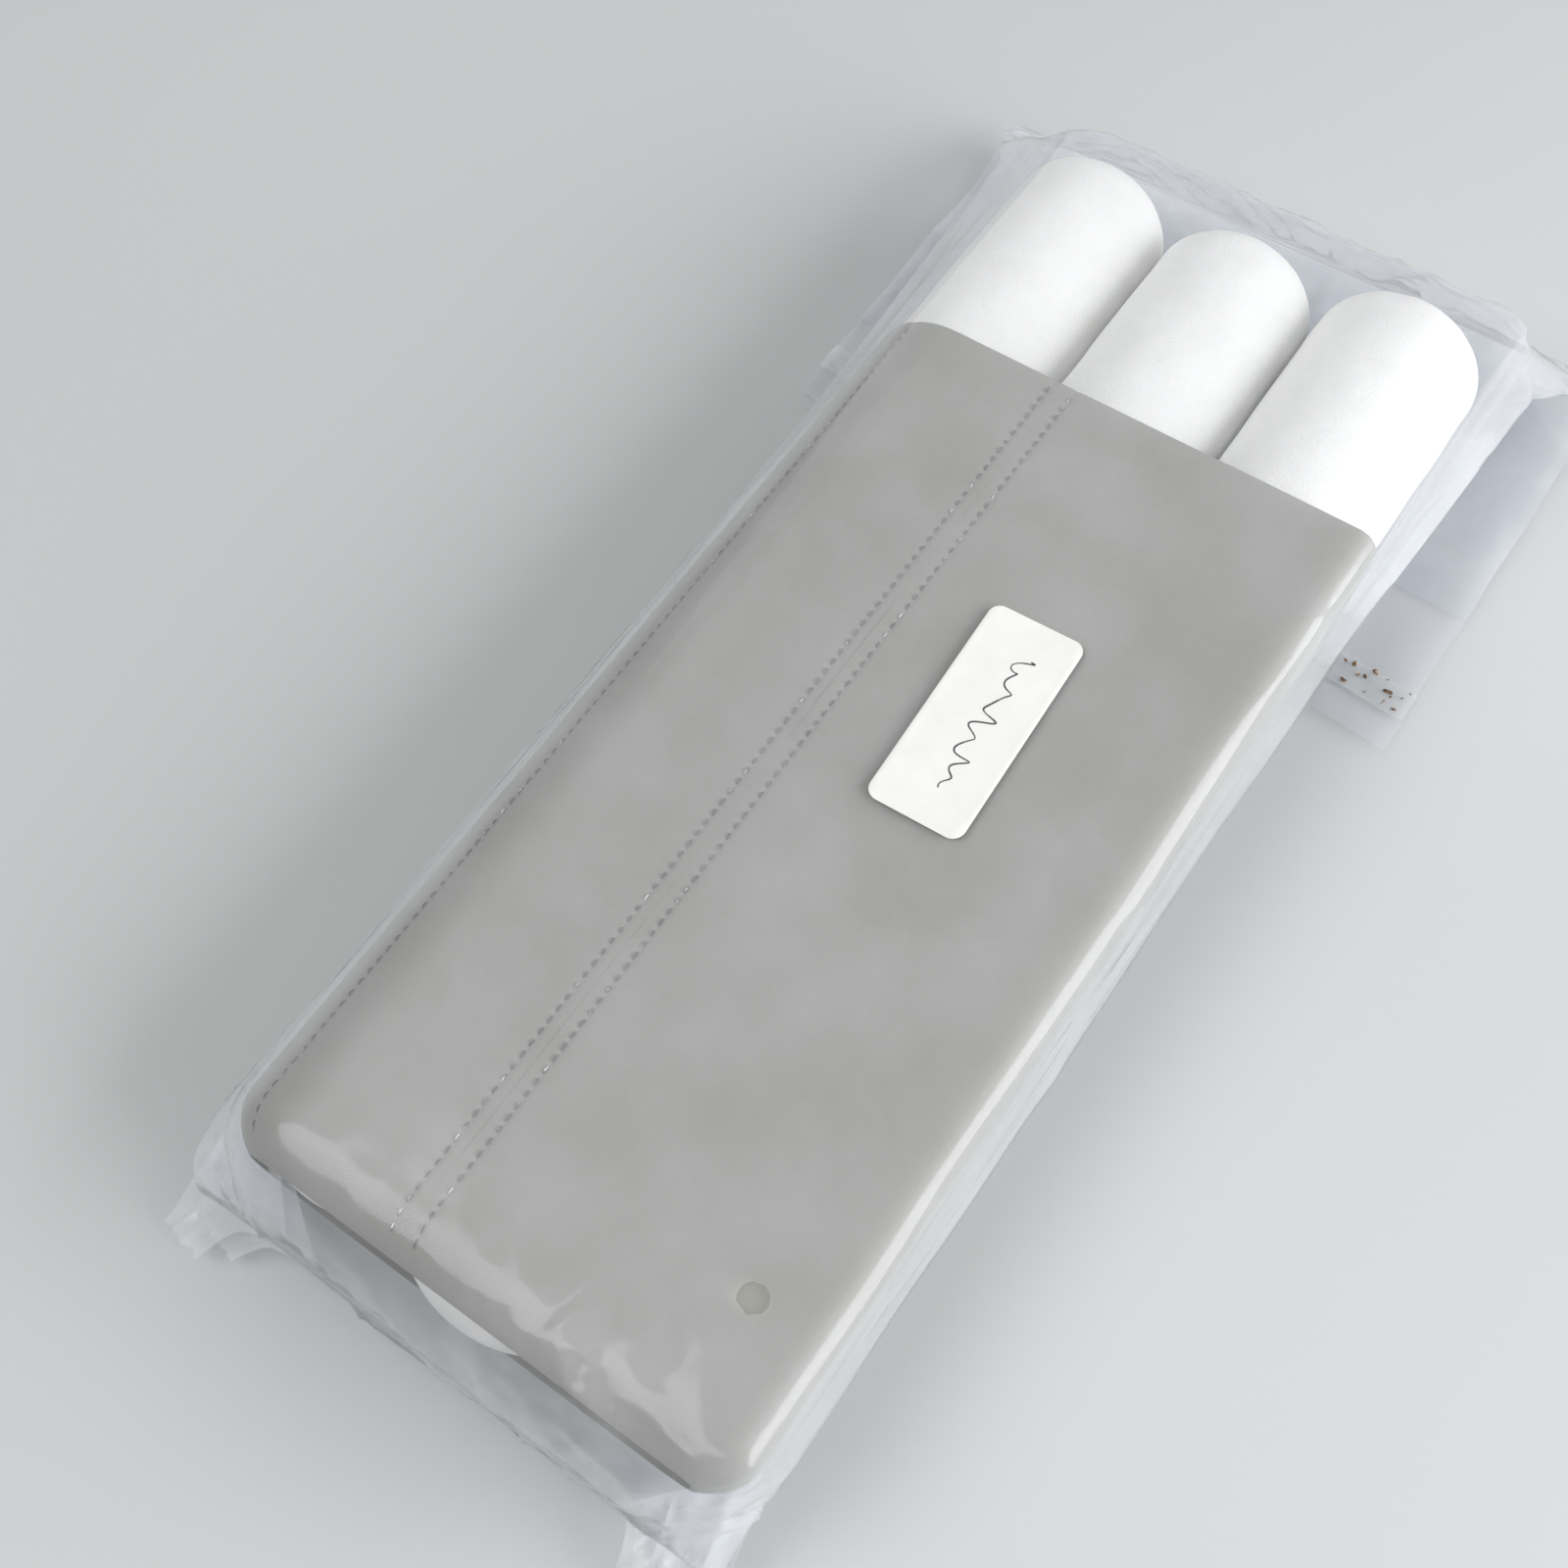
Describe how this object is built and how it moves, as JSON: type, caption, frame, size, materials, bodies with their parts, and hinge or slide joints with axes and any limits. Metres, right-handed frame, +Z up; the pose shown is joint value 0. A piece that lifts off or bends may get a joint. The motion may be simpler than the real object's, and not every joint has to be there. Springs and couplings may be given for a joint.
{
  "type": "packed foam mini-roller refills",
  "caption": "Round-ended white foam paint-roller refills in a flat grey sewn sleeve, packed in a clear film bag with a folded self-seal tail and a blank label.",
  "frame": {"origin": "on the surface that the pack lies on, below the middle of the refill columns", "axes": "+X across the columns, +Y along them towards the folded mouth, +Z up"},
  "size_m": [0.167, 0.3463, 0.0454],
  "materials": {
    "foam": "matte white fine-cell foam",
    "core_plastic": "satin moulded plastic",
    "plug_plastic": "satin moulded plastic",
    "sleeve_leather": "matte warm grey synthetic leather",
    "seam_strip": "woven backing strip",
    "thread": "dark grey twisted thread",
    "film": "clear glossy film with a bluish haze",
    "adhesive": "clear adhesive strip",
    "label_paper": "smooth white paper"
  },
  "bodies": {
    "bag": {"bag_film": "film", "label": "label_paper"},
    "tail": {"bag_tail": "film", "adhesive_strip": "adhesive"},
    "sleeve": {"sleeve_front_panel": "sleeve_leather", "sleeve_main_panel": "sleeve_leather", "sleeve_seam_strip": "seam_strip", "thread_seam_row_left": "thread", "thread_seam_row_right": "thread", "thread_edge_row": "thread"},
    "refill_upper_left": {"foam_cover_upper_left": "foam", "core_tube_upper_left": "core_plastic", "end_plug_upper_left": "plug_plastic"},
    "refill_lower_left": {"foam_cover_lower_left": "foam", "core_tube_lower_left": "core_plastic", "end_plug_lower_left": "plug_plastic"},
    "refill_upper_middle": {"foam_cover_upper_middle": "foam", "core_tube_upper_middle": "core_plastic", "end_plug_upper_middle": "plug_plastic"},
    "refill_lower_middle": {"foam_cover_lower_middle": "foam", "core_tube_lower_middle": "core_plastic", "end_plug_lower_middle": "plug_plastic"},
    "refill_upper_right": {"foam_cover_upper_right": "foam", "core_tube_upper_right": "core_plastic", "end_plug_upper_right": "plug_plastic"},
    "refill_lower_right": {"foam_cover_lower_right": "foam", "core_tube_lower_right": "core_plastic", "end_plug_lower_right": "plug_plastic"}
  },
  "joints": [
    {"name": "sleeve_creep", "type": "slide", "parent": "bag", "child": "sleeve", "axis": [0, 1, 0], "range_m": [-0.0008, 0.002]},
    {"name": "tail_fold", "type": "hinge", "parent": "bag", "child": "tail", "pos_m": [0, 0.176, 0.008], "axis": [1, 0, 0], "range_deg": [0, 180]},
    {"name": "upper_left_slide", "type": "slide", "parent": "sleeve", "child": "refill_upper_left", "axis": [0, 1, 0], "range_m": [0, 0.003]},
    {"name": "lower_left_slide", "type": "slide", "parent": "sleeve", "child": "refill_lower_left", "axis": [0, -1, 0], "range_m": [0, 0.0005]},
    {"name": "upper_middle_slide", "type": "slide", "parent": "sleeve", "child": "refill_upper_middle", "axis": [0, 1, 0], "range_m": [0, 0.003]},
    {"name": "lower_middle_slide", "type": "slide", "parent": "sleeve", "child": "refill_lower_middle", "axis": [0, -1, 0], "range_m": [0, 0.0005]},
    {"name": "upper_right_slide", "type": "slide", "parent": "sleeve", "child": "refill_upper_right", "axis": [0, 1, 0], "range_m": [0, 0.003]},
    {"name": "lower_right_slide", "type": "slide", "parent": "sleeve", "child": "refill_lower_right", "axis": [0, -1, 0], "range_m": [0, 0.0005]}
  ]
}
